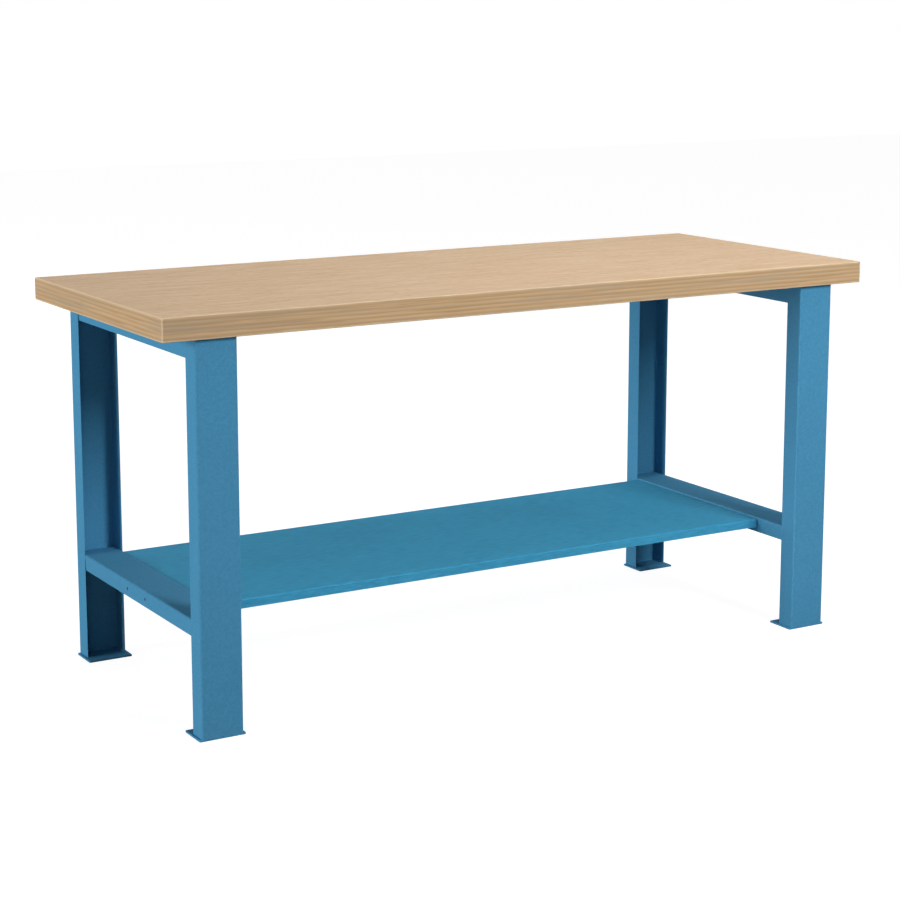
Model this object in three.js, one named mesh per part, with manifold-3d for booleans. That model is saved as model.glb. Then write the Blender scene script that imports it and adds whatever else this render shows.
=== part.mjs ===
// Assembly table: a thick beech plywood worktop screwed on two welded side frames of folded
// sheet steel, with a folded steel shelf bolted between their lower crossbars.
// Millimetres, +Z up. The origin lies on the floor under the middle of the worktop,
// +X runs along the table to its right end and +Y from its front to its rear.

import * as THREE from 'three';
import { mergeVertices } from 'three/addons/utils/BufferGeometryUtils.js';
import Module from 'manifold-3d';

const wasm = await Module();
wasm.setup();

// Worktop

const worktopLength = 1800;
const worktopDepth = 725;
const worktopThickness = 50;
const worktopEdgeRadius = 2;
const worktopCornerRadius = 3;
const tableHeight = 890;

// Legs, as channels with the web on the outside

const sideOverhang = 75.5;
const legSetback = 15;
const legWidth = 94;
const legFlange = 47;
const legSheet = 2;
const legBend = 2;

// Foot plates, flush with the web of the leg

const footThickness = 4;
const footSideOverhang = 5.5;
const footInnerOverhang = 29;
const footCornerRadius = 3;

// Crossbars, as channels open below that nest between the flanges of the legs

const topCrossbarHeight = 46;
const lowerCrossbarHeight = 37;
const lowerCrossbarTop = 249;
const crossbarSheet = 2;
const crossbarBend = 2;

// Shelf, as a tray with its edges folded down

const shelfDrop = 3;
const shelfSetback = 94;
const shelfRearGap = 2;
const shelfLip = 21;
const shelfEndFlange = 30;
const shelfSheet = 1.5;
const shelfBend = 1.5;

// Stiffener, as a hat section under the floor of the shelf

const stiffenerCrown = 60;
const stiffenerHeight = 18;
const stiffenerFlange = 20;
const stiffenerSheet = 1.5;
const stiffenerBend = 1.5;
const stiffenerEndGap = 90;

// Worktop screws, driven up through the top crossbars

const worktopScrewDiameter = 8;
const worktopScrewAcross = 13;
const worktopScrewHead = 5.5;
const worktopScrewTip = 8;
const worktopScrewCover = 9;
const worktopScrewEndDistance = 95;
const worktopScrewsPerSide = 3;
const worktopWasherDiameter = 16;
const worktopWasherThickness = 1.6;
const worktopHoleClearance = 0.5;

// Shelf screws, which point to the middle of the table

const shelfScrewDiameter = 6;
const shelfScrewSpacing = 100;
const shelfScrewHeadDiameter = 10.5;
const shelfScrewHead = 3.3;
const shelfScrewSocket = 4;
const shelfScrewSocketDepth = 2;
const shelfScrewEnd = 1.5;
const shelfHoleClearance = 0.5;
const shelfWasherDiameter = 12;
const shelfWasherThickness = 1.6;
const shelfNutAcross = 10;
const shelfNutHeight = 5;

// Fits: the gap left between two faces that meet, round a screw, and beside an inner bend

const seatGap = 0.1;
const screwGap = 0.3;
const bendGap = 0.5;

// Facets: steps in half a right angle of a bend, and sides of a round piece

const bendSteps = 3;
const roundSides = 24;

// Heads: the flat face of a hexagon as a share of its width, the slope turned on its corners,
// and the part of a quarter turn that the dome of a button head follows

const hexFaceShare = 0.95;
const hexCornerSlope = Math.PI / 6;
const domeAngle = Math.PI / 3;
const domeSteps = 4;

// Places that several pieces share

const worktopUnderside = tableHeight - worktopThickness;
const frameTop = worktopUnderside - seatGap;
const frameCentre = worktopLength / 2 - sideOverhang - legWidth / 2;
const legFace = worktopDepth / 2 - legSetback;
const legFoot = footThickness + seatGap;
const crossbarWidth = legWidth - 2 * legSheet - 2 * seatGap;
const crossbarLength = 2 * (legFace - legSheet - seatGap);
const lowerHoleHeight = lowerCrossbarTop - lowerCrossbarHeight / 2;
const shelfHoleDiameter = shelfScrewDiameter + 2 * shelfHoleClearance;
const shelfTop = lowerCrossbarTop - shelfDrop;
const shelfLength = 2 * (frameCentre - crossbarWidth / 2 - seatGap);
const shelfFront = shelfSetback - (legFace - legFlange);
const shelfRear = legFace - legFlange - shelfRearGap;
const shelfDepth = shelfRear - shelfFront;
const shelfMiddle = (shelfFront + shelfRear) / 2;
const worktopHoleDiameter = worktopScrewDiameter + 2 * worktopHoleClearance;

// Finishes

const framePaint = { color: 0x4b8fb5, roughness: 0.45, metalness: 0 };
const shelfPaint = { color: 0x3f97bd, roughness: 0.45, metalness: 0 };
const beechPlywood = { color: 0xd6b891, roughness: 0.55, metalness: 0 };
const zincPlate = { color: 0xb9bcc0, roughness: 0.35, metalness: 0.9 };
const blackOxide = { color: 0x26272a, roughness: 0.5, metalness: 0.8 };

// Solids: a closed geometry becomes a solid that can be joined and cut, and turns back

function toSolid(geometry) {
  const bare = geometry.clone();
  bare.deleteAttribute('normal');
  bare.deleteAttribute('uv');
  const merged = mergeVertices(bare);
  const corners = merged.index.array;
  const triangles = [];
  for (let i = 0; i < corners.length; i += 3) {
    const [a, b, c] = corners.slice(i, i + 3);
    if (a !== b && b !== c && c !== a) triangles.push(a, b, c);
  }
  const mesh = new wasm.Mesh({
    numProp: 3,
    vertProperties: new Float32Array(merged.attributes.position.array),
    triVerts: new Uint32Array(triangles),
  });
  return new wasm.Manifold(mesh);
}

function toGeometry(solid) {
  const mesh = solid.getMesh();
  const geometry = new THREE.BufferGeometry();
  geometry.setAttribute('position', new THREE.BufferAttribute(mesh.vertProperties, 3));
  geometry.setIndex(new THREE.BufferAttribute(mesh.triVerts, 1));
  geometry.computeVertexNormals();
  return geometry;
}

function cut(geometry, cutters) {
  let solid = toSolid(geometry);
  for (const cutter of cutters) solid = solid.subtract(toSolid(cutter));
  return toGeometry(solid);
}

// Outlines

// A sheet seen end on: its middle follows the corners, and each corner has the same inner bend.
function foldedSection(corners, sheet, bend) {
  const points = corners.map(([x, y]) => new THREE.Vector2(x, y));
  const middleRadius = bend + sheet / 2;
  const normal = (from, to) => new THREE.Vector2(from.y - to.y, to.x - from.x).normalize();
  const bends = [];
  for (let i = 1; i < points.length - 1; i += 1) {
    const [before, corner, after] = points.slice(i - 1, i + 2);
    const into = corner.clone().sub(before).normalize();
    const out = after.clone().sub(corner).normalize();
    const turn = Math.atan2(into.cross(out), into.dot(out));
    const side = Math.sign(turn);
    const start = corner.clone().addScaledVector(into, -middleRadius * Math.tan(Math.abs(turn) / 2));
    const centre = start.clone().addScaledVector(normal(before, corner), side * middleRadius);
    const startAngle = Math.atan2(start.y - centre.y, start.x - centre.x);
    bends.push({ centre, turn, side, startAngle, endAngle: startAngle + turn });
  }
  const first = points[0];
  const last = points[points.length - 1];
  const firstOffset = normal(first, points[1]).multiplyScalar(sheet / 2);
  const lastOffset = normal(points[points.length - 2], last).multiplyScalar(sheet / 2);
  const shape = new THREE.Shape();
  shape.moveTo(first.x + firstOffset.x, first.y + firstOffset.y);
  for (const { centre, turn, side, startAngle, endAngle } of bends) {
    const radius = middleRadius - (side * sheet) / 2;
    shape.absarc(centre.x, centre.y, radius, startAngle, endAngle, turn < 0);
  }
  shape.lineTo(last.x + lastOffset.x, last.y + lastOffset.y);
  shape.lineTo(last.x - lastOffset.x, last.y - lastOffset.y);
  for (const { centre, turn, side, startAngle, endAngle } of bends.reverse()) {
    const radius = middleRadius + (side * sheet) / 2;
    shape.absarc(centre.x, centre.y, radius, endAngle, startAngle, turn > 0);
  }
  shape.lineTo(first.x - firstOffset.x, first.y - firstOffset.y);
  shape.closePath();
  return shape;
}

// A channel whose web lies on y = 0 and whose flanges reach down to y = -depth.
function channelSection(width, depth, sheet, bend) {
  const flange = width / 2 - sheet / 2;
  const web = -sheet / 2;
  return foldedSection([[-flange, -depth], [-flange, web], [flange, web], [flange, -depth]], sheet, bend);
}

// A hat whose flanges lie on y = 0 and whose crown hangs at y = -height.
function hatSection(crown, height, flange, sheet, bend) {
  const wall = crown / 2 - sheet / 2;
  const brim = wall + flange;
  const rim = -sheet / 2;
  const bottom = -height + sheet / 2;
  return foldedSection(
    [[-brim, rim], [-wall, rim], [-wall, bottom], [wall, bottom], [wall, rim], [brim, rim]],
    sheet,
    bend,
  );
}

function roundedRectangle(width, depth, radius) {
  const x = width / 2 - radius;
  const y = depth / 2 - radius;
  const shape = new THREE.Shape();
  shape.absarc(x, y, radius, 0, Math.PI / 2, false);
  shape.absarc(-x, y, radius, Math.PI / 2, Math.PI, false);
  shape.absarc(-x, -y, radius, Math.PI, 1.5 * Math.PI, false);
  shape.absarc(x, -y, radius, 1.5 * Math.PI, 2 * Math.PI, false);
  shape.closePath();
  return shape;
}

function hexagon(across) {
  const radius = across / Math.sqrt(3);
  const corners = [];
  for (let i = 0; i < 6; i += 1) {
    const angle = (i * Math.PI) / 3;
    corners.push(new THREE.Vector2(radius * Math.cos(angle), radius * Math.sin(angle)));
  }
  return new THREE.Shape(corners);
}

// Bodies from outlines: a section runs along Z, Y or X, and a half outline turns about Z

function alongZ(shape, length) {
  return new THREE.ExtrudeGeometry(shape, {
    depth: length,
    bevelEnabled: false,
    curveSegments: bendSteps,
  });
}

function alongY(shape, length) {
  return alongZ(shape, length).rotateX(Math.PI / 2).translate(0, length / 2, 0);
}

function alongX(shape, length) {
  return alongZ(shape, length).rotateX(Math.PI / 2).rotateZ(Math.PI / 2).translate(-length / 2, 0, 0);
}

function turned(outline) {
  const points = outline.map(([radius, height]) => new THREE.Vector2(radius, height));
  return new THREE.LatheGeometry(points, roundSides).rotateX(Math.PI / 2);
}

function rod(diameter, length) {
  const radius = diameter / 2;
  return turned([[0, 0], [radius, 0], [radius, length], [0, length]]);
}

// A rod along X that is long enough to pass through a whole piece.
function crossRod(diameter, length) {
  return rod(diameter, length).rotateY(Math.PI / 2).translate(-length / 2, 0, 0);
}

// Side frames

function legGeometry() {
  const section = channelSection(legWidth, legFlange, legSheet, legBend);
  return alongZ(section, frameTop - legFoot).rotateZ(Math.PI);
}

function footPlateGeometry() {
  const depth = legFlange + footInnerOverhang;
  const outline = roundedRectangle(legWidth + 2 * footSideOverhang, depth, footCornerRadius);
  return alongZ(outline, footThickness).translate(0, depth / 2, 0);
}

// The ends are rounded in plan, so that they seat against the inner bends of the legs.
function crossbarGeometry(height) {
  const section = channelSection(crossbarWidth, height, crossbarSheet, crossbarBend);
  const plan = roundedRectangle(crossbarWidth, crossbarLength, legBend + bendGap);
  const block = alongZ(plan, height).translate(0, 0, -height);
  return toGeometry(toSolid(alongY(section, crossbarLength)).intersect(toSolid(block)));
}

function worktopScrewPlaces() {
  const reach = crossbarLength / 2 - worktopScrewEndDistance;
  const step = (2 * reach) / (worktopScrewsPerSide - 1);
  return Array.from({ length: worktopScrewsPerSide }, (_, i) => i * step - reach);
}

function topCrossbarGeometry() {
  const holes = worktopScrewPlaces().map((y) =>
    rod(worktopHoleDiameter, topCrossbarHeight).translate(0, y, -topCrossbarHeight / 2));
  return cut(crossbarGeometry(topCrossbarHeight), holes);
}

function shelfScrewPlaces() {
  return [-shelfScrewSpacing / 2, shelfScrewSpacing / 2];
}

function lowerCrossbarGeometry() {
  const holes = shelfScrewPlaces().map((y) =>
    crossRod(shelfHoleDiameter, legWidth).translate(0, y, lowerHoleHeight - lowerCrossbarTop));
  return cut(crossbarGeometry(lowerCrossbarHeight), holes);
}

// Shelf

// Two channels cross: one folds the front and rear lips, the other the flanges at the ends.
// Each stops at the bends of the other, which leaves the corners open.
function shelfGeometry() {
  const corner = shelfBend + shelfSheet;
  const lips = channelSection(shelfDepth, shelfLip, shelfSheet, shelfBend);
  const ends = channelSection(shelfLength, shelfEndFlange, shelfSheet, shelfBend);
  const lengthwise = toSolid(alongX(lips, shelfLength - 2 * corner));
  const crosswise = toSolid(alongY(ends, shelfDepth - 2 * corner));
  const tray = toGeometry(lengthwise.add(crosswise));
  const holes = shelfScrewPlaces().map((y) =>
    crossRod(shelfHoleDiameter, worktopLength).translate(0, y - shelfMiddle, lowerHoleHeight - shelfTop));
  return cut(tray, holes);
}

function stiffenerGeometry() {
  const section = hatSection(
    stiffenerCrown,
    stiffenerHeight,
    stiffenerFlange,
    stiffenerSheet,
    stiffenerBend,
  );
  return alongX(section, shelfLength - 2 * stiffenerEndGap);
}

// Worktop

const worktopStack = crossbarSheet + worktopWasherThickness + 3 * seatGap;
const worktopScrewLength = worktopThickness - worktopScrewCover + worktopStack;
const pilotDepth = worktopThickness - worktopScrewCover + screwGap;

function worktopGeometry() {
  const outline = roundedRectangle(worktopLength, worktopDepth, worktopCornerRadius);
  const panel = new THREE.ExtrudeGeometry(outline, {
    depth: worktopThickness - 2 * worktopEdgeRadius,
    bevelThickness: worktopEdgeRadius,
    bevelSize: worktopEdgeRadius,
    bevelOffset: -worktopEdgeRadius,
    bevelSegments: bendSteps,
    curveSegments: bendSteps,
  }).translate(0, 0, worktopEdgeRadius);
  const pilots = [-frameCentre, frameCentre].flatMap((x) =>
    worktopScrewPlaces().map((y) =>
      rod(worktopScrewDiameter + 2 * screwGap, 2 * pilotDepth).translate(x, y, -pilotDepth)));
  return cut(panel, pilots);
}

// Fasteners, drawn with the face of the head or nut that bears on z = 0

// A hexagon from z = -height to 0 with its corners turned off on the outer face.
function hexHead(across, height) {
  const prism = alongZ(hexagon(across), height).translate(0, 0, -height);
  const corner = across / Math.sqrt(3);
  const face = (across / 2) * hexFaceShare;
  const slope = (corner - face) * Math.tan(hexCornerSlope);
  const cone = turned([[0, -height], [face, -height], [corner, slope - height], [corner, 0], [0, 0]]);
  return toSolid(prism).intersect(toSolid(cone));
}

function worktopScrewGeometry() {
  const radius = worktopScrewDiameter / 2;
  const shank = turned([
    [0, -worktopScrewHead / 2],
    [radius, -worktopScrewHead / 2],
    [radius, worktopScrewLength - worktopScrewTip],
    [0, worktopScrewLength],
  ]);
  return toGeometry(hexHead(worktopScrewAcross, worktopScrewHead).add(toSolid(shank)));
}

const shelfScrewLength = crossbarSheet + shelfSheet + shelfWasherThickness + shelfNutHeight
  + 3 * seatGap + shelfScrewEnd;

function shelfScrewGeometry() {
  const radius = shelfScrewDiameter / 2;
  const dome = Array.from({ length: domeSteps + 1 }, (_, i) => {
    const angle = domeAngle * (1 - i / domeSteps);
    const height = (shelfScrewHead * Math.sin(angle)) / Math.sin(domeAngle);
    return [(shelfScrewHeadDiameter / 2) * Math.cos(angle), -height];
  });
  const screw = turned([
    [0, -shelfScrewHead],
    ...dome,
    [radius, 0],
    [radius, shelfScrewLength - screwGap],
    [radius - screwGap, shelfScrewLength],
    [0, shelfScrewLength],
  ]);
  const socket = alongZ(hexagon(shelfScrewSocket), 2 * shelfScrewSocketDepth);
  return cut(screw, [socket.translate(0, 0, -shelfScrewHead - shelfScrewSocketDepth)]);
}

function shelfNutGeometry() {
  const length = 3 * shelfNutHeight;
  const bore = rod(shelfScrewDiameter + 2 * screwGap, length).translate(0, 0, -length / 2);
  return toGeometry(hexHead(shelfNutAcross, shelfNutHeight).subtract(toSolid(bore)));
}

// A washer from z = 0 up.
function washerGeometry(diameter, boltDiameter, thickness) {
  const inner = boltDiameter / 2 + screwGap;
  const outer = diameter / 2;
  return turned([[inner, 0], [outer, 0], [outer, thickness], [inner, thickness], [inner, 0]]);
}

// Assembly

const table = new THREE.Group();

function addPiece(group, name, geometry, finish) {
  const piece = new THREE.Mesh(geometry, new THREE.MeshStandardMaterial(finish));
  piece.name = name;
  group.add(piece);
  return piece;
}

// The way that faces out of the table at each end and at the front and rear

const sides = [
  { side: 'left', out: -1 },
  { side: 'right', out: 1 },
];

const ends = [
  { end: 'front', out: -1 },
  { end: 'rear', out: 1 },
];

for (const { side, out } of sides) {
  const frame = new THREE.Group();
  frame.position.x = out * frameCentre;
  for (const { end, out: endOut } of ends) {
    const support = new THREE.Group();
    support.position.y = endOut * legFace;
    support.rotation.z = endOut > 0 ? Math.PI : 0;
    addPiece(support, `${side}_${end}_leg`, legGeometry(), framePaint).position.z = legFoot;
    addPiece(support, `${side}_${end}_foot_plate`, footPlateGeometry(), framePaint);
    frame.add(support);
  }
  const topCrossbar = addPiece(frame, `${side}_top_crossbar`, topCrossbarGeometry(), framePaint);
  topCrossbar.position.z = frameTop;
  const lowerCrossbar = addPiece(frame, `${side}_lower_crossbar`, lowerCrossbarGeometry(), framePaint);
  lowerCrossbar.position.z = lowerCrossbarTop;

  // Worktop screws, each with a washer under the web of the top crossbar.
  worktopScrewPlaces().forEach((place, i) => {
    const fixing = new THREE.Group();
    fixing.position.set(0, place, frameTop - crossbarSheet - seatGap - worktopWasherThickness);
    const washer = washerGeometry(worktopWasherDiameter, worktopScrewDiameter, worktopWasherThickness);
    addPiece(fixing, `${side}_worktop_washer_${i + 1}`, washer, zincPlate);
    const screw = addPiece(fixing, `${side}_worktop_screw_${i + 1}`, worktopScrewGeometry(), zincPlate);
    screw.position.z = -seatGap;
    frame.add(fixing);
  });
  table.add(frame);
}

addPiece(table, 'worktop', worktopGeometry(), beechPlywood).position.z = worktopUnderside;
addPiece(table, 'shelf', shelfGeometry(), shelfPaint).position.set(0, shelfMiddle, shelfTop);
const stiffener = addPiece(table, 'shelf_stiffener', stiffenerGeometry(), shelfPaint);
stiffener.position.set(0, shelfMiddle, shelfTop - shelfSheet - seatGap);

// Shelf screws: the head bears on the inside of the crossbar, the washer and nut on the shelf.
const headFace = frameCentre - crossbarWidth / 2 + crossbarSheet;
const washerFace = crossbarSheet + shelfSheet + 2 * seatGap;
const nutFace = washerFace + shelfWasherThickness + seatGap;

for (const { side, out } of sides) {
  for (const { end, out: endOut } of ends) {
    const fixing = new THREE.Group();
    fixing.position.set(out * headFace, (endOut * shelfScrewSpacing) / 2, lowerHoleHeight);
    fixing.rotation.y = (-out * Math.PI) / 2;
    addPiece(fixing, `${side}_${end}_shelf_screw`, shelfScrewGeometry(), blackOxide).position.z = -seatGap;
    const washer = washerGeometry(shelfWasherDiameter, shelfScrewDiameter, shelfWasherThickness);
    addPiece(fixing, `${side}_${end}_shelf_washer`, washer, zincPlate).position.z = washerFace;
    const nut = addPiece(fixing, `${side}_${end}_shelf_nut`, shelfNutGeometry(), zincPlate);
    nut.position.z = nutFace;
    nut.rotation.x = Math.PI;
    table.add(fixing);
  }
}

export default table;
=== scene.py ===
"""Looks of a workshop assembly table: plywood worktop, powder-coated steel side frames and shelf."""

import logging
import math
from dataclasses import dataclass, field
from enum import Enum

import bmesh
import bpy
from mathutils import Matrix, Vector


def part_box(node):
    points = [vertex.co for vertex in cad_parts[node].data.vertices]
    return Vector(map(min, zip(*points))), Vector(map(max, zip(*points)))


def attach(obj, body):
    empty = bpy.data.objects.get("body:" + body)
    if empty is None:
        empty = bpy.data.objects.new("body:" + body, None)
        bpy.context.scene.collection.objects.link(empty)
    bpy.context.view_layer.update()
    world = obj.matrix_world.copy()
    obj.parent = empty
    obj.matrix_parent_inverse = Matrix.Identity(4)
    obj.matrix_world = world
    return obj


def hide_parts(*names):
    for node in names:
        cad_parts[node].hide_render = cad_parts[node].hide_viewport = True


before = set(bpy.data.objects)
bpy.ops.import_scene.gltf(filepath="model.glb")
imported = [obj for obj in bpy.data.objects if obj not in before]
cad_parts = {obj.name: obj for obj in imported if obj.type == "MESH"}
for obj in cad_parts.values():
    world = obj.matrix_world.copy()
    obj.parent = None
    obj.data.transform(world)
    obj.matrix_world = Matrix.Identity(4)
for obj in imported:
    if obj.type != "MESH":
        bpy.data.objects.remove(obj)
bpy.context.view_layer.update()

log = logging.getLogger("assembly_table")

BODY = "root"
MM = 0.001
# The mix node's colour sockets share their names with others, so they are taken by number.
MIX_A = 6
MIX_B = 7
MIX_RESULT = 2
# How much of each finer layer a noise pattern keeps.
NOISE_FADE = 0.55


class Slot(Enum):
    """Material slots of the record."""

    FRAME = "frame_paint"
    SHELF = "shelf_paint"
    WOOD = "beech_plywood"
    ZINC = "zinc_steel"
    BLACK = "black_oxide_steel"


class Side(Enum):
    """Ends of the table seen from the front, with the direction that points outwards along X."""

    LEFT = -1
    RIGHT = 1


class End(Enum):
    """Front and rear of the table, with the direction that points outwards along Y."""

    FRONT = -1
    REAR = 1


def word(choice: Enum) -> str:
    """Gives the choice as it stands in node names."""
    return choice.name.lower()


def linear(colour: str) -> tuple[float, float, float, float]:
    """Turns an sRGB hex colour to linear light.

    Args:
        colour: The colour as "#RRGGBB".

    Returns:
        Red, green, blue and an alpha of one.
    """
    parts = [int(colour[i : i + 2], 16) / 255 for i in (1, 3, 5)]
    light = [c / 12.92 if c <= 0.04045 else ((c + 0.055) / 1.055) ** 2.4 for c in parts]
    return (light[0], light[1], light[2], 1.0)


def per_metre(size_mm: float) -> float:
    """Gives the texture scale at which a pattern repeats about once in a size in millimetres."""
    return 1 / (size_mm * MM)


def add_node(
    tree: bpy.types.NodeTree,
    kind: str,
    options: dict[str, object] | None = None,
    values: dict[str | int, object] | None = None,
    links: dict[str | int, bpy.types.NodeSocket] | None = None,
) -> bpy.types.Node:
    """Adds a node with its settings and links.

    Args:
        tree: The node tree that gets the node.
        kind: The node's type without its ShaderNode prefix.
        options: The node's own properties.
        values: Values of input sockets, by name or number.
        links: Output sockets to link to inputs, by name or number.

    Returns:
        The new node.
    """
    node = tree.nodes.new("ShaderNode" + kind)
    for name, option in (options or {}).items():
        setattr(node, name, option)
    for socket, value in (values or {}).items():
        node.inputs[socket].default_value = value
    for socket, source in (links or {}).items():
        tree.links.new(source, node.inputs[socket])
    return node


def new_tree(name: str) -> tuple[bpy.types.Material, bpy.types.NodeTree]:
    """Makes a material with an empty node tree.

    Args:
        name: The material's name.

    Returns:
        The material and its tree.
    """
    material = bpy.data.materials.new(name)
    material.use_nodes = True
    material.node_tree.nodes.clear()
    return material, material.node_tree


def stretched_noise(
    tree: bpy.types.NodeTree,
    place: bpy.types.NodeSocket,
    sizes_mm: tuple[float, float, float],
    detail: float,
    wander: float = 0.0,
) -> bpy.types.NodeSocket:
    """Adds a noise pattern that is stretched to a size along each axis.

    Args:
        tree: The material's tree.
        place: The coordinates in metres.
        sizes_mm: The size of the pattern along X, Y and Z.
        detail: How many finer patterns lie on the first.
        wander: How far the pattern is distorted.

    Returns:
        The noise, which lies round one half.
    """
    mapping = add_node(
        tree,
        "Mapping",
        values={"Scale": tuple(per_metre(size) for size in sizes_mm)},
        links={"Vector": place},
    )
    noise = add_node(
        tree,
        "TexNoise",
        values={"Scale": 1.0, "Detail": detail, "Roughness": NOISE_FADE, "Distortion": wander},
        links={"Vector": mapping.outputs[0]},
    )
    return noise.outputs["Fac"]


@dataclass(frozen=True)
class PowderCoat:
    """Polyester powder coat, sprayed dry on folded sheet steel and baked.

    It gives the eye an even satin colour with fine specks and a faint orange peel, and almost no
    mirror shine.
    """

    name: str
    colour: str
    deep_colour: str
    roughness: float = 0.74
    roughness_spread: float = 0.05
    refraction: float = 1.5
    gloss: float = 0.06
    cloud_mm: float = 260.0
    cloud_share: float = 0.4
    mottle_range: tuple[float, float] = (0.45, 0.95)
    # Real powder grains are under 0.1 mm. Their specks are drawn coarser so that they show.
    speck_mm: float = 5.0
    speck_stretch: float = 1.0
    # Real orange peel waves are about 1.5 mm wide. They are drawn coarser so that they show.
    peel_mm: float = 4.0
    peel_height_mm: float = 0.03
    peel_strength: float = 0.5

    def material(self) -> bpy.types.Material:
        """Builds the material.

        Returns:
            The finished material.
        """
        material, tree = new_tree(self.name)
        place = add_node(tree, "TexCoord").outputs["Object"]
        cloud = stretched_noise(tree, place, (self.cloud_mm,) * 3, detail=3.0)
        specks_mm = (self.speck_mm * self.speck_stretch, self.speck_mm, self.speck_mm)
        speck = stretched_noise(tree, place, specks_mm, detail=2.0)
        peel = stretched_noise(tree, place, (self.peel_mm,) * 3, detail=2.0)
        mottle = add_node(
            tree,
            "Math",
            {"operation": "MULTIPLY_ADD"},
            {1: self.cloud_share},
            {0: cloud, 2: speck},
        )
        tint = add_node(
            tree,
            "MapRange",
            values={"From Min": self.mottle_range[0], "From Max": self.mottle_range[1]},
            links={"Value": mottle.outputs[0]},
        )
        colour = add_node(
            tree,
            "Mix",
            {"data_type": "RGBA"},
            {MIX_A: linear(self.deep_colour), MIX_B: linear(self.colour)},
            {"Factor": tint.outputs[0]},
        )
        satin = add_node(
            tree,
            "MapRange",
            values={
                "To Min": self.roughness - self.roughness_spread,
                "To Max": self.roughness + self.roughness_spread,
            },
            links={"Value": cloud},
        )
        bump = add_node(
            tree,
            "Bump",
            values={"Strength": self.peel_strength, "Distance": self.peel_height_mm * MM},
            links={"Height": peel},
        )
        coat = add_node(
            tree,
            "BsdfPrincipled",
            values={"IOR": self.refraction, "Specular IOR Level": self.gloss},
            links={
                "Base Color": colour.outputs[MIX_RESULT],
                "Roughness": satin.outputs[0],
                "Normal": bump.outputs[0],
            },
        )
        add_node(tree, "OutputMaterial", links={"Surface": coat.outputs[0]})
        return material


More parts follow.
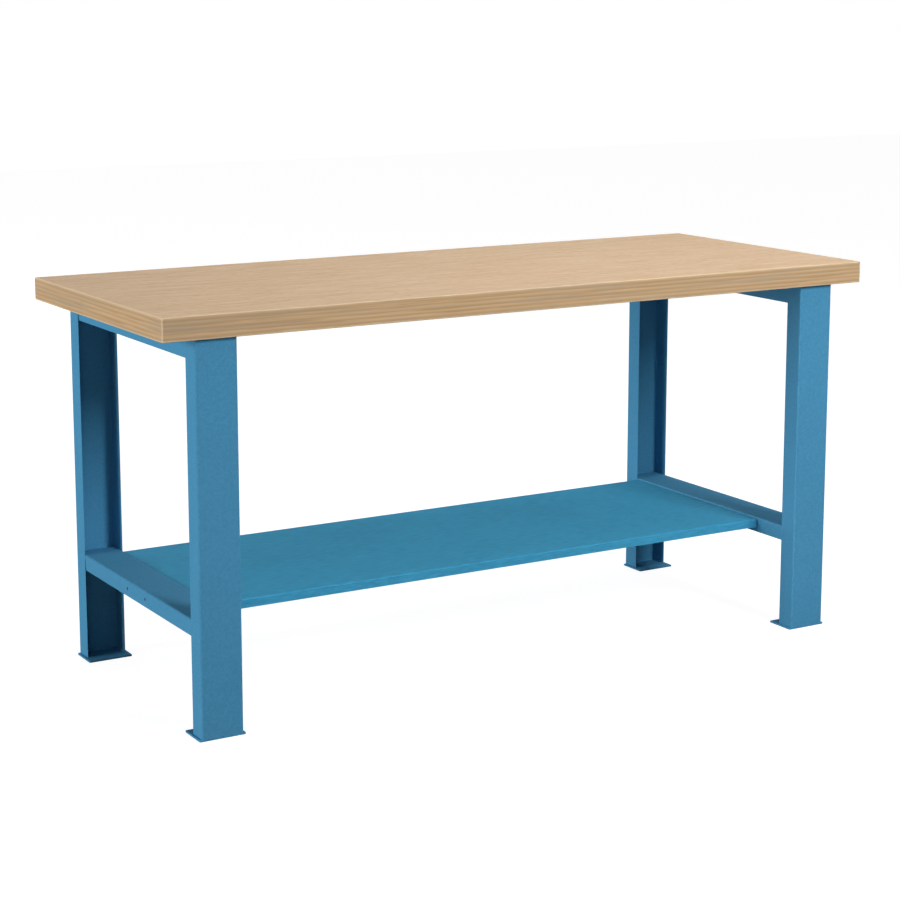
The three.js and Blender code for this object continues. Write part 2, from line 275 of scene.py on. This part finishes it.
@dataclass(frozen=True)
class BeechPlywood:
    """Rotary-cut beech plywood, sanded and oiled.

    It gives the eye a pale warm face with fine grain and short flecks along the table, edges where
    tan and grey plies lie on each other as slightly wavy stripes, and a painted highlight: pale lines
    along the rounded corners that stand in for the light they catch.
    """

    name: str = "beech_plywood_sanded"
    face_light: str = "#D6BCA0"
    face_dark: str = "#C2A380"
    fleck: str = "#A5835E"
    edge_light: str = "#CDAE87"
    edge_dark: str = "#B08F69"
    edge_grey: str = "#A99A84"
    # Pale colour of the painted highlight along the rounded corners.
    corner_highlight: str = "#E3CDAD"
    roughness: float = 0.74
    roughness_spread: float = 0.12
    refraction: float = 1.45
    gloss: float = 0.2
    # The normal's height where an edge turns into a face.
    face_range: tuple[float, float] = (0.75, 0.95)
    grain_mm: tuple[float, float, float] = (130.0, 8.0, 8.0)
    grain_range: tuple[float, float] = (0.3, 0.7)
    grain_wander: float = 0.25
    # Real flecks are about 3 mm long and 0.3 mm wide. They are drawn coarser so that they show.
    fleck_mm: tuple[float, float, float] = (24.0, 5.0, 5.0)
    fleck_range: tuple[float, float] = (0.5, 0.75)
    fleck_strength: float = 0.45
    fleck_depth_mm: float = 0.05
    fleck_bump: float = 0.35
    # Real plies are about 1.5 mm thick. They are drawn thicker so that they show.
    ply_mm: float = 9.0
    ply_range: tuple[float, float] = (0.4, 1.1)
    ply_wander: float = 0.6
    line_mm: tuple[float, float, float] = (190.0, 190.0, 5.0)
    grey_mm: tuple[float, float, float] = (260.0, 260.0, 8.0)
    grey_range: tuple[float, float] = (0.48, 0.68)
    grey_strength: float = 0.6
    # Width of the painted highlight along the corners.
    corner_highlight_mm: float = 4.0
    # Shares of the squared width between which the painted highlight rises.
    corner_highlight_range: tuple[float, float] = (0.15, 0.65)
    corner_highlight_strength: float = 0.65

    def face_colour(
        self, tree: bpy.types.NodeTree, place: bpy.types.NodeSocket
    ) -> tuple[bpy.types.NodeSocket, bpy.types.NodeSocket]:
        """Adds the colour of the face veneer.

        Args:
            tree: The material's tree.
            place: The coordinates in metres.

        Returns:
            The colour, and the fleck mask that the gloss and the bump use.
        """
        grain = stretched_noise(tree, place, self.grain_mm, detail=5.0, wander=self.grain_wander)
        tone = add_node(
            tree,
            "MapRange",
            values={"From Min": self.grain_range[0], "From Max": self.grain_range[1]},
            links={"Value": grain},
        )
        veneer = add_node(
            tree,
            "Mix",
            {"data_type": "RGBA"},
            {MIX_A: linear(self.face_dark), MIX_B: linear(self.face_light)},
            {"Factor": tone.outputs[0]},
        )
        pores = stretched_noise(tree, place, self.fleck_mm, detail=2.0, wander=self.grain_wander)
        mask = add_node(
            tree,
            "MapRange",
            values={
                "From Min": self.fleck_range[0],
                "From Max": self.fleck_range[1],
                "To Max": self.fleck_strength,
            },
            links={"Value": pores},
        )
        flecked = add_node(
            tree,
            "Mix",
            {"data_type": "RGBA"},
            {MIX_B: linear(self.fleck)},
            {"Factor": mask.outputs[0], MIX_A: veneer.outputs[MIX_RESULT]},
        )
        return flecked.outputs[MIX_RESULT], mask.outputs[0]

    def edge_colour(
        self, tree: bpy.types.NodeTree, place: bpy.types.NodeSocket
    ) -> bpy.types.NodeSocket:
        """Adds the colour of the stacked plies on the edges.

        Args:
            tree: The material's tree.
            place: The coordinates in metres.

        Returns:
            The colour.
        """
        height = add_node(tree, "SeparateXYZ", links={"Vector": place}).outputs["Z"]
        line = stretched_noise(tree, place, self.line_mm, detail=3.0, wander=self.ply_wander)
        wavy = add_node(
            tree,
            "Math",
            {"operation": "MULTIPLY_ADD"},
            {1: per_metre(self.ply_mm)},
            {0: height, 2: line},
        )
        # One ply is one rise and one fall, so the pattern turns at half a ply.
        ply = add_node(tree, "Math", {"operation": "PINGPONG"}, {1: 0.5}, {0: wavy.outputs[0]})
        share = add_node(
            tree, "Math", {"operation": "ADD"}, links={0: ply.outputs[0], 1: line}
        )
        depth = add_node(
            tree,
            "MapRange",
            values={"From Min": self.ply_range[0], "From Max": self.ply_range[1]},
            links={"Value": share.outputs[0]},
        )
        plies = add_node(
            tree,
            "Mix",
            {"data_type": "RGBA"},
            {MIX_A: linear(self.edge_light), MIX_B: linear(self.edge_dark)},
            {"Factor": depth.outputs[0]},
        )
        patch = stretched_noise(tree, place, self.grey_mm, detail=2.0, wander=self.ply_wander)
        greyed = add_node(
            tree,
            "MapRange",
            values={
                "From Min": self.grey_range[0],
                "From Max": self.grey_range[1],
                "To Max": self.grey_strength,
            },
            links={"Value": patch},
        )
        stack = add_node(
            tree,
            "Mix",
            {"data_type": "RGBA"},
            {MIX_B: linear(self.edge_grey)},
            {"Factor": greyed.outputs[0], MIX_A: plies.outputs[MIX_RESULT]},
        )
        return stack.outputs[MIX_RESULT]

    def corner_highlight_mask(
        self, tree: bpy.types.NodeTree, place: bpy.types.NodeSocket, low: Vector, high: Vector
    ) -> bpy.types.NodeSocket:
        """Adds the mask of the painted highlight along the corners, where two faces of the board meet.

        Args:
            tree: The material's tree.
            place: The coordinates in metres.
            low: The board's lowest corner.
            high: The board's highest corner.

        Returns:
            Zero on the faces, rising to the strength of the painted highlight along the corners.
        """
        width = self.corner_highlight_mm * MM
        inner = (high - low) / 2 - Vector((width, width, width))
        offset = add_node(
            tree, "VectorMath", {"operation": "SUBTRACT"}, {1: (low + high) / 2}, {0: place}
        )
        reach = add_node(
            tree, "VectorMath", {"operation": "ABSOLUTE"}, links={0: offset.outputs[0]}
        )
        beyond = add_node(
            tree, "VectorMath", {"operation": "SUBTRACT"}, {1: inner}, {0: reach.outputs[0]}
        )
        rim = add_node(
            tree, "VectorMath", {"operation": "MAXIMUM"}, {1: (0, 0, 0)}, {0: beyond.outputs[0]}
        )
        # The product of two distances is large only near two faces at once. Its sum over the three
        # pairs of axes is the dot product with the distances moved on by one axis.
        near = add_node(tree, "SeparateXYZ", links={"Vector": rim.outputs[0]}).outputs
        moved = add_node(
            tree, "CombineXYZ", links={"X": near["Y"], "Y": near["Z"], "Z": near["X"]}
        )
        pairs = add_node(
            tree,
            "VectorMath",
            {"operation": "DOT_PRODUCT"},
            links={0: rim.outputs[0], 1: moved.outputs[0]},
        )
        mask = add_node(
            tree,
            "MapRange",
            values={
                "From Min": self.corner_highlight_range[0] * width * width,
                "From Max": self.corner_highlight_range[1] * width * width,
                "To Max": self.corner_highlight_strength,
            },
            links={"Value": pairs.outputs["Value"]},
        )
        return mask.outputs[0]

    def material(self, low: Vector, high: Vector) -> bpy.types.Material:
        """Builds the material.

        Args:
            low: The board's lowest corner.
            high: The board's highest corner.

        Returns:
            The finished material.
        """
        material, tree = new_tree(self.name)
        place = add_node(tree, "TexCoord").outputs["Object"]
        normal = add_node(tree, "NewGeometry").outputs["Normal"]
        steep = add_node(tree, "VectorMath", {"operation": "ABSOLUTE"}, links={0: normal})
        upward = add_node(tree, "SeparateXYZ", links={"Vector": steep.outputs[0]}).outputs["Z"]
        level = add_node(
            tree,
            "MapRange",
            values={"From Min": self.face_range[0], "From Max": self.face_range[1]},
            links={"Value": upward},
        )
        face, mask = self.face_colour(tree, place)
        wood = add_node(
            tree,
            "Mix",
            {"data_type": "RGBA"},
            links={"Factor": level.outputs[0], MIX_A: self.edge_colour(tree, place), MIX_B: face},
        )
        # Painted highlight: the corners are mixed towards a pale colour that stands in for the light
        # the rounded corners catch.
        colour = add_node(
            tree,
            "Mix",
            {"data_type": "RGBA"},
            {MIX_B: linear(self.corner_highlight)},
            {"Factor": self.corner_highlight_mask(tree, place, low, high), MIX_A: wood.outputs[MIX_RESULT]},
        )
        satin = add_node(
            tree,
            "MapRange",
            values={"To Min": self.roughness, "To Max": self.roughness + self.roughness_spread},
            links={"Value": mask},
        )
        bump = add_node(
            tree,
            "Bump",
            {"invert": True},
            {"Strength": self.fleck_bump, "Distance": self.fleck_depth_mm * MM},
            {"Height": mask},
        )
        oiled = add_node(
            tree,
            "BsdfPrincipled",
            values={"IOR": self.refraction, "Specular IOR Level": self.gloss},
            links={
                "Base Color": colour.outputs[MIX_RESULT],
                "Roughness": satin.outputs[0],
                "Normal": bump.outputs[0],
            },
        )
        add_node(tree, "OutputMaterial", links={"Surface": oiled.outputs[0]})
        return material


@dataclass(frozen=True)
class PlatedSteel:
    """Turned and pressed steel with a thin metal or oxide layer, which is a little cloudy."""

    name: str
    colour: str
    cloudy_colour: str
    roughness: float
    roughness_spread: float = 0.1
    cloud_mm: float = 5.0

    def material(self) -> bpy.types.Material:
        """Builds the material.

        Returns:
            The finished material.
        """
        material, tree = new_tree(self.name)
        place = add_node(tree, "TexCoord").outputs["Object"]
        cloud = stretched_noise(tree, place, (self.cloud_mm,) * 3, detail=4.0)
        colour = add_node(
            tree,
            "Mix",
            {"data_type": "RGBA"},
            {MIX_A: linear(self.cloudy_colour), MIX_B: linear(self.colour)},
            {"Factor": cloud},
        )
        sheen = add_node(
            tree,
            "MapRange",
            values={
                "To Min": self.roughness + self.roughness_spread,
                "To Max": self.roughness - self.roughness_spread,
            },
            links={"Value": cloud},
        )
        plate = add_node(
            tree,
            "BsdfPrincipled",
            values={"Metallic": 1.0},
            links={"Base Color": colour.outputs[MIX_RESULT], "Roughness": sheen.outputs[0]},
        )
        add_node(tree, "OutputMaterial", links={"Surface": plate.outputs[0]})
        return material


@dataclass(frozen=True)
class ZincPlate(PlatedSteel):
    """Bright zinc, electroplated.

    It gives the eye a cool silver sheen that is a little cloudy and never mirror-like.
    """

    name: str = "zinc_plated_steel"
    colour: str = "#C6CACD"
    cloudy_colour: str = "#B4B7B4"
    roughness: float = 0.34


@dataclass(frozen=True)
class BlackOxide(PlatedSteel):
    """Black oxide from a hot bath, oiled.

    It gives the eye a near-black metal with a dull grey sheen where it is rounded.
    """

    name: str = "oiled_black_oxide_steel"
    colour: str = "#2B2C2F"
    cloudy_colour: str = "#202123"
    roughness: float = 0.48


def loft(shape: bmesh.types.BMesh, rings: list[list[bmesh.types.BMVert]]) -> None:
    """Joins rings of points into one closed skin.

    Args:
        shape: The shape that holds the points.
        rings: The rings from one end to the other, with as many points in each.
    """
    for one, two in zip(rings, rings[1:]):
        for i in range(len(one)):
            j = (i + 1) % len(one)
            shape.faces.new((one[i], one[j], two[j], two[i]))
    shape.faces.new(rings[0])
    shape.faces.new(rings[-1])


@dataclass
class SubAssembly:
    """A group of pieces that is built and finished together."""

    slot: Slot
    rounding_mm: float = 0.4
    sharp_angle: float = math.radians(50)
    flat_angle: float = math.radians(0.5)
    merge_mm: float = 0.002
    pieces: list[bpy.types.Object] = field(default_factory=list)

    def build(self) -> None:
        """Builds the pieces, which each kind of group does in its own way."""
        raise NotImplementedError

    def keep(self, name: str, shape: bmesh.types.BMesh) -> bpy.types.Object:
        """Turns a shape into a smooth-shaded piece that rides on the table.

        Args:
            name: The piece's name.
            shape: The shape, which is freed.

        Returns:
            The piece.
        """
        bmesh.ops.recalc_face_normals(shape, faces=shape.faces)
        for face in shape.faces:
            face.smooth = True
        for edge in shape.edges:
            edge.smooth = edge.calc_face_angle(0.0) < self.sharp_angle
        mesh = bpy.data.meshes.new(name)
        shape.to_mesh(mesh)
        shape.free()
        piece = bpy.data.objects.new(name, mesh)
        bpy.context.scene.collection.objects.link(piece)
        shading = piece.modifiers.new("flat faces stay flat", "WEIGHTED_NORMAL")
        shading.keep_sharp = True
        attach(piece, BODY)
        self.pieces.append(piece)
        return piece

    def refine(self, node: str, name: str, rounding_mm: float | None = None) -> bpy.types.Object:
        """Makes a piece from a node's solid, with its cut edges rounded over by the finish.

        Args:
            node: The node that the piece replaces.
            name: The piece's name.
            rounding_mm: The rounding of the cut edges, or None for the group's own.

        Returns:
            The piece.
        """
        rounding = self.rounding_mm if rounding_mm is None else rounding_mm
        shape = bmesh.new()
        shape.from_mesh(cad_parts[node].data)
        bmesh.ops.remove_doubles(shape, verts=shape.verts, dist=self.merge_mm * MM)
        bmesh.ops.dissolve_limit(
            shape, angle_limit=self.flat_angle, verts=shape.verts, edges=shape.edges
        )
        if rounding > 0:
            edges = [e for e in shape.edges if e.calc_face_angle(0.0) > self.sharp_angle]
            bmesh.ops.bevel(
                shape,
                geom=edges,
                offset=rounding * MM,
                offset_type="OFFSET",
                segments=2,
                profile=0.5,
                affect="EDGES",
                clamp_overlap=True,
            )
        piece = self.keep(name, shape)
        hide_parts(node)
        return piece

    def dress(self, material: bpy.types.Material) -> None:
        """Gives every piece its finish and reports it.

        Args:
            material: The finish.
        """
        for piece in self.pieces:
            piece.data.materials.clear()
            piece.data.materials.append(material)
            log.info("%s: %s, %d faces", piece.name, material.name, len(piece.data.polygons))


@dataclass
class Worktop(SubAssembly):
    """The plywood board, whose rounded edges come from its solid."""

    slot: Slot = Slot.WOOD

    def build(self) -> None:
        """Builds the board."""
        self.refine("worktop", "worktop_board", rounding_mm=0.0)


@dataclass
class SideFrame(SubAssembly):
    """One welded end of the table: two legs on foot plates, joined by two crossbars."""

    slot: Slot = Slot.FRAME
    side: Side = Side.LEFT
    sheet_mm: float = 2.0
    bend_mm: float = 4.0
    bead_mm: float = 3.0
    bead_pitch_mm: float = 2.6
    bead_steps: int = 4
    bead_arc: int = 5
    bead_sink_mm: float = 0.3
    bead_ripple: float = 0.14
    # Share of the full size at the ends of a bead.
    bead_start: float = 0.35
    # A bead's face lies between a flat one, which is one, and a round one, which is zero.
    bead_flat: float = 0.65

    def build(self) -> None:
        """Builds the folded steel pieces and the welds between them."""
        side = word(self.side)
        for end in End:
            corner = f"{side}_{word(end)}"
            self.refine(f"{corner}_leg", f"{corner}_leg_channel")
            self.refine(f"{corner}_foot_plate", f"{corner}_foot_plate_steel")
            self.weld_leg(corner, end)
        for level in ("top", "lower"):
            self.refine(f"{side}_{level}_crossbar", f"{side}_{level}_crossbar_channel")

    def weld_leg(self, corner: str, end: End) -> None:
        """Builds the welds inside one leg, at its foot plate and at its two crossbars.

        Args:
            corner: The leg's corner of the table.
            end: The leg's end, which says where its web is.
        """
        low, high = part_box(f"{corner}_leg")
        foot_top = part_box(f"{corner}_foot_plate")[1].z
        top_bar_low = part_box(f"{word(self.side)}_top_crossbar")[0].z
        lower_bar_low, lower_bar_high = (
            point.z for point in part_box(f"{word(self.side)}_lower_crossbar")
        )
        sheet = self.sheet_mm * MM
        bend = self.bend_mm * MM
        left = low.x + sheet
        right = high.x - sheet
        inward = Vector((0, -end.value, 0))
        web = (high.y if end is End.REAR else low.y) + inward.y * sheet
        near = web + inward.y * bend
        mouth = low.y if end is End.REAR else high.y
        up = Vector((0, 0, 1))
        shape = bmesh.new()
        for height in (foot_top, lower_bar_high):
            start = Vector((left + bend, web, height))
            stop = Vector((right - bend, web, height))
            self.bead(shape, start, stop, up, inward)
        for height, rise in ((foot_top, up), (lower_bar_low, -up), (top_bar_low, -up)):
            for wall, out in ((left, Vector((1, 0, 0))), (right, Vector((-1, 0, 0)))):
                start = Vector((wall, near, height))
                stop = Vector((wall, mouth, height))
                self.bead(shape, start, stop, rise, out)
        self.keep(f"{corner}_leg_welds", shape)

    def bead(
        self, shape: bmesh.types.BMesh, start: Vector, stop: Vector, first: Vector, second: Vector
    ) -> None:
        """Adds one closed fillet weld with the ripples that the welder leaves.

        Args:
            shape: The shape that gets the weld.
            start: One end of the corner line.
            stop: The other end.
            first: The direction along one welded face.
            second: The direction along the other face.
        """
        size = self.bead_mm * MM
        length = (stop - start).length
        count = max(2, round(length / (self.bead_pitch_mm * MM)) * self.bead_steps)
        rings = []
        for step in range(count + 1):
            along = step / count
            ripple = 1 - self.bead_ripple * abs(math.sin(math.pi * step / self.bead_steps))
            taper = min(1.0, self.bead_start + min(along, 1 - along) * length / size)
            centre = start.lerp(stop, along)
            ring = [shape.verts.new(centre - (first + second) * self.bead_sink_mm * MM)]
            for part in range(self.bead_arc):
                turn = math.pi / 2 * part / (self.bead_arc - 1)
                chord = 1 / (math.cos(turn) + math.sin(turn))
                reach = size * ripple * taper * (self.bead_flat * chord + 1 - self.bead_flat)
                side = first * math.cos(turn) + second * math.sin(turn)
                ring.append(shape.verts.new(centre + side * reach))
            rings.append(ring)
        loft(shape, rings)


@dataclass
class Shelf(SubAssembly):
    """The folded steel shelf with its stiffener, which is spot-welded to it from below."""

    slot: Slot = Slot.SHELF
    rounding_mm: float = 0.3
    stiffener_sheet_mm: float = 1.5
    flange_mm: float = 20.0
    spot_spacing_mm: float = 120.0
    spot_mm: float = 3.0
    spot_rim_mm: float = 0.25
    # The foot and the dish of a mark, as shares of its radius and of its rim.
    spot_foot: float = 1.25
    spot_dish: float = 0.8
    spot_dish_height: float = 0.4
    spot_sides: int = 20

    def build(self) -> None:
        """Builds the shelf, the stiffener and its spot welds."""
        self.refine("shelf", "shelf_tray")
        self.refine("shelf_stiffener", "shelf_stiffener_hat")
        self.spot_welds()

    def spot_welds(self) -> None:
        """Builds the ringed marks that the welding tips leave under the stiffener's flanges."""
        low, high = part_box("shelf_stiffener")
        under = high.z - self.stiffener_sheet_mm * MM
        middle = self.flange_mm * MM / 2
        spacing = self.spot_spacing_mm * MM
        count = int((high.x - low.x - spacing / 2) / spacing)
        shape = bmesh.new()
        for row in (low.y + middle, high.y - middle):
            for number in range(count + 1):
                x = (low.x + high.x) / 2 + (number - count / 2) * spacing
                self.spot(shape, Vector((x, row, under)))
        self.keep("shelf_stiffener_spot_welds", shape)

    def spot(self, shape: bmesh.types.BMesh, centre: Vector) -> None:
        """Adds one closed spot weld mark: a shallow dish inside a low rim.

        Args:
            shape: The shape that gets the mark.
            centre: The mark's middle on the flange's lower face.
        """
        rim = self.spot_rim_mm * MM
        radius = self.spot_mm * MM
        profile = (
            (self.spot_foot, -rim),
            (1.0, rim),
            (self.spot_dish, rim * self.spot_dish_height),
        )
        rings = []
        for share, height in profile:
            ring = []
            for step in range(self.spot_sides):
                turn = 2 * math.pi * step / self.spot_sides
                reach = Vector((math.cos(turn), math.sin(turn), 0)) * radius * share
                ring.append(shape.verts.new(centre + reach - Vector((0, 0, height))))
            rings.append(ring)
        loft(shape, rings)


@dataclass
class Fasteners(SubAssembly):
    """The zinc-plated screws, washers and nuts that hold the worktop and the shelf."""

    slot: Slot = Slot.ZINC
    screws_per_side: int = 3
    rounding_mm: float = 0.15

    def build(self) -> None:
        """Builds the worktop's screws and washers and the shelf's washers and nuts."""
        for side in Side:
            for number in range(1, self.screws_per_side + 1):
                for kind in ("screw", "washer"):
                    node = f"{word(side)}_worktop_{kind}_{number}"
                    self.refine(node, f"{node}_zinc")
            for end in End:
                for kind in ("washer", "nut"):
                    node = f"{word(side)}_{word(end)}_shelf_{kind}"
                    self.refine(node, f"{node}_zinc")


@dataclass
class ShelfScrews(SubAssembly):
    """The black socket screws that hold the shelf between the lower crossbars."""

    slot: Slot = Slot.BLACK
    rounding_mm: float = 0.15

    def build(self) -> None:
        """Builds the four screws."""
        for side in Side:
            for end in End:
                node = f"{word(side)}_{word(end)}_shelf_screw"
                self.refine(node, f"{node}_black")


@dataclass
class HolePlugs(SubAssembly):
    """The dark plugs pressed into the key holes on the outer faces of the lower crossbars."""

    slot: Slot = Slot.BLACK
    radius_mm: float = 3.4
    rim_mm: float = 0.5
    sheet_mm: float = 2.0
    sink_mm: float = 0.25
    dish_mm: float = 0.3
    dish_share: float = 0.5
    length_mm: float = 5.0
    sides: int = 24

    def build(self) -> None:
        """Builds one plug for each hole."""
        for side in Side:
            low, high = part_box(f"{word(side)}_lower_crossbar")
            face = low.x if side is Side.LEFT else high.x
            for end in End:
                corner = f"{word(side)}_{word(end)}"
                screw_low, screw_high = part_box(f"{corner}_shelf_screw")
                middle = (screw_low + screw_high) / 2
                shape = bmesh.new()
                self.plug(shape, Vector((face, middle.y, middle.z)), -side.value)
                self.keep(f"{corner}_hole_plug", shape)

    def plug(self, shape: bmesh.types.BMesh, centre: Vector, inward: int) -> None:
        """Adds one closed plug: a dished face in the hole and a barb behind the sheet.

        Args:
            shape: The shape that gets the plug.
            centre: The middle of the hole on the outer face.
            inward: The direction along X that points into the crossbar.
        """
        radius = self.radius_mm
        behind = self.sheet_mm + self.rim_mm / 2
        profile = (
            (self.sink_mm + self.dish_mm, radius * self.dish_share),
            (self.sink_mm, radius - self.rim_mm),
            (self.sink_mm + self.rim_mm / 2, radius),
            (behind, radius),
            (behind + self.rim_mm, radius + self.rim_mm),
            (self.length_mm, radius - self.rim_mm),
        )
        rings = []
        for depth, reach in profile:
            ring = []
            for step in range(self.sides):
                turn = 2 * math.pi * step / self.sides
                offset = Vector((inward * depth, reach * math.cos(turn), reach * math.sin(turn)))
                ring.append(shape.verts.new(centre + offset * MM))
            rings.append(ring)
        loft(shape, rings)


@dataclass(frozen=True)
class Softbox:
    """A square studio light that faces a point of the table."""

    name: str
    place: tuple[float, float, float]
    aim: tuple[float, float, float]
    size: float
    watts: float

    def build(self) -> None:
        """Adds the light."""
        light = bpy.data.lights.new(self.name, "AREA")
        light.size = self.size
        light.energy = self.watts
        lamp = bpy.data.objects.new(self.name, light)
        lamp.location = self.place
        direction = Vector(self.aim) - Vector(self.place)
        lamp.rotation_euler = direction.to_track_quat("-Z", "Y").to_euler()
        bpy.context.scene.collection.objects.link(lamp)


@dataclass
class Studio:
    """White floor, soft light and the camera at the photograph's viewing angle."""

    floor_half: float = 14.0
    floor_colour: str = "#8C8C8C"
    floor_lift: float = 0.92
    sky: float = 0.26
    ground: float = 0.02
    # Heights of the sky between which its light rises from the ground's to the zenith's.
    sky_range: tuple[float, float] = (0.05, 0.95)
    camera_place: tuple[float, float, float] = (-2.522, -4.207, 1.510)
    yaw: float = math.radians(30.68)
    pitch: float = math.radians(9.65)
    lens_mm: float = 85.11
    sensor_mm: float = 36.0
    shift: float = -0.1
    softboxes: tuple[Softbox, ...] = (
        Softbox("overhead_softbox", (0.8, -0.1, 3.4), (0.3, 0.0, 0.9), 2.4, 42.0),
        Softbox("key_softbox", (1.0, -3.8, 2.6), (0.2, 0.0, 0.5), 1.3, 127.0),
        Softbox("left_softbox", (-30.0, 1.0, 3.5), (0.0, 0.0, 0.5), 12.0, 7800.0),
        Softbox("low_fill_softbox", (-3.5, -4.5, 0.9), (-0.5, 0.3, 0.3), 1.2, 10.0),
        Softbox("right_fill_softbox", (7.0, 0.5, 0.75), (0.8, 0.0, 0.5), 1.2, 120.0),
        Softbox("rear_fill_softbox", (-0.4, 7.0, 0.75), (0.0, 0.3, 0.5), 1.2, 170.0),
    )

    def shown_ray(self, tree: bpy.types.NodeTree) -> bpy.types.NodeSocket:
        """Adds a switch for rays that show the background.

        Args:
            tree: The node tree of the floor or the world.

        Returns:
            One for camera, glossy and transmission rays, and else zero.
        """
        path = add_node(tree, "LightPath")
        pair = add_node(
            tree,
            "Math",
            {"operation": "MAXIMUM"},
            links={0: path.outputs["Is Camera Ray"], 1: path.outputs["Is Glossy Ray"]},
        )
        every = add_node(
            tree,
            "Math",
            {"operation": "MAXIMUM"},
            links={0: pair.outputs[0], 1: path.outputs["Is Transmission Ray"]},
        )
        return every.outputs[0]

    def build_floor(self) -> None:
        """Builds the pale floor, which is lifted to white where it is seen and keeps the shadow."""
        shape = bmesh.new()
        bmesh.ops.create_grid(shape, x_segments=1, y_segments=1, size=self.floor_half)
        mesh = bpy.data.meshes.new("studio_floor")
        shape.to_mesh(mesh)
        shape.free()
        floor = bpy.data.objects.new("studio_floor", mesh)
        bpy.context.scene.collection.objects.link(floor)
        material, tree = new_tree("matt_white_studio_floor")
        lift = add_node(
            tree,
            "Math",
            {"operation": "MULTIPLY"},
            {1: self.floor_lift},
            {0: self.shown_ray(tree)},
        )
        matt = add_node(tree, "BsdfDiffuse", values={"Color": linear(self.floor_colour)})
        glow = add_node(tree, "Emission", links={"Strength": lift.outputs[0]})
        both = add_node(tree, "AddShader", links={0: matt.outputs[0], 1: glow.outputs[0]})
        add_node(tree, "OutputMaterial", links={"Surface": both.outputs[0]})
        mesh.materials.append(material)

    def build_world(self) -> None:
        """Builds the soft light from above and the white background."""
        world = bpy.data.worlds.new("studio")
        world.use_nodes = True
        tree = world.node_tree
        tree.nodes.clear()
        height = add_node(
            tree, "SeparateXYZ", links={"Vector": add_node(tree, "TexCoord").outputs["Generated"]}
        ).outputs["Z"]
        level = add_node(
            tree,
            "MapRange",
            {"interpolation_type": "SMOOTHSTEP"},
            {
                "From Min": self.sky_range[0],
                "From Max": self.sky_range[1],
                "To Min": self.ground,
                "To Max": self.sky,
            },
            {"Value": height},
        )
        white = (1, 1, 1, 1)
        soft = add_node(
            tree, "Background", values={"Color": white}, links={"Strength": level.outputs[0]}
        )
        plain = add_node(tree, "Background", values={"Color": white, "Strength": 1.0})
        both = add_node(
            tree,
            "MixShader",
            links={0: self.shown_ray(tree), 1: soft.outputs[0], 2: plain.outputs[0]},
        )
        add_node(tree, "OutputWorld", links={"Surface": both.outputs[0]})
        bpy.context.scene.world = world

    def build_camera(self) -> None:
        """Builds the camera."""
        data = bpy.data.cameras.new("photograph_view")
        data.sensor_width = self.sensor_mm
        data.lens = self.lens_mm
        data.shift_y = self.shift
        camera = bpy.data.objects.new("photograph_view", data)
        turn = Matrix.Rotation(-self.yaw, 4, "Z") @ Matrix.Rotation(math.pi / 2 - self.pitch, 4, "X")
        camera.matrix_world = Matrix.Translation(self.camera_place) @ turn
        bpy.context.scene.collection.objects.link(camera)
        bpy.context.scene.camera = camera

    def build(self) -> None:
        """Builds the whole studio."""
        self.build_floor()
        self.build_world()
        self.build_camera()
        for softbox in self.softboxes:
            softbox.build()
        bpy.context.scene.view_settings.view_transform = "Standard"


def main() -> None:
    """Builds and dresses the table's sub-assemblies in order, and then the studio."""
    logging.basicConfig(level=logging.INFO, format="%(message)s")
    frame_paint = PowderCoat("powder_coat_light_blue", "#4F96BE", "#478BB2").material()
    shelf_paint = PowderCoat("powder_coat_sea_blue", "#49ABD5", "#3F96BF", speck_stretch=6.0).material()
    black_oxide = BlackOxide().material()
    groups = (
        (Worktop(), BeechPlywood().material(*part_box("worktop"))),
        (SideFrame(side=Side.LEFT), frame_paint),
        (SideFrame(side=Side.RIGHT), frame_paint),
        (Shelf(), shelf_paint),
        (Fasteners(), ZincPlate().material()),
        (ShelfScrews(), black_oxide),
        (HolePlugs(), black_oxide),
    )
    for group, material in groups:
        group.build()
        group.dress(material)
    Studio().build()


if __name__ == "__main__":
    main()
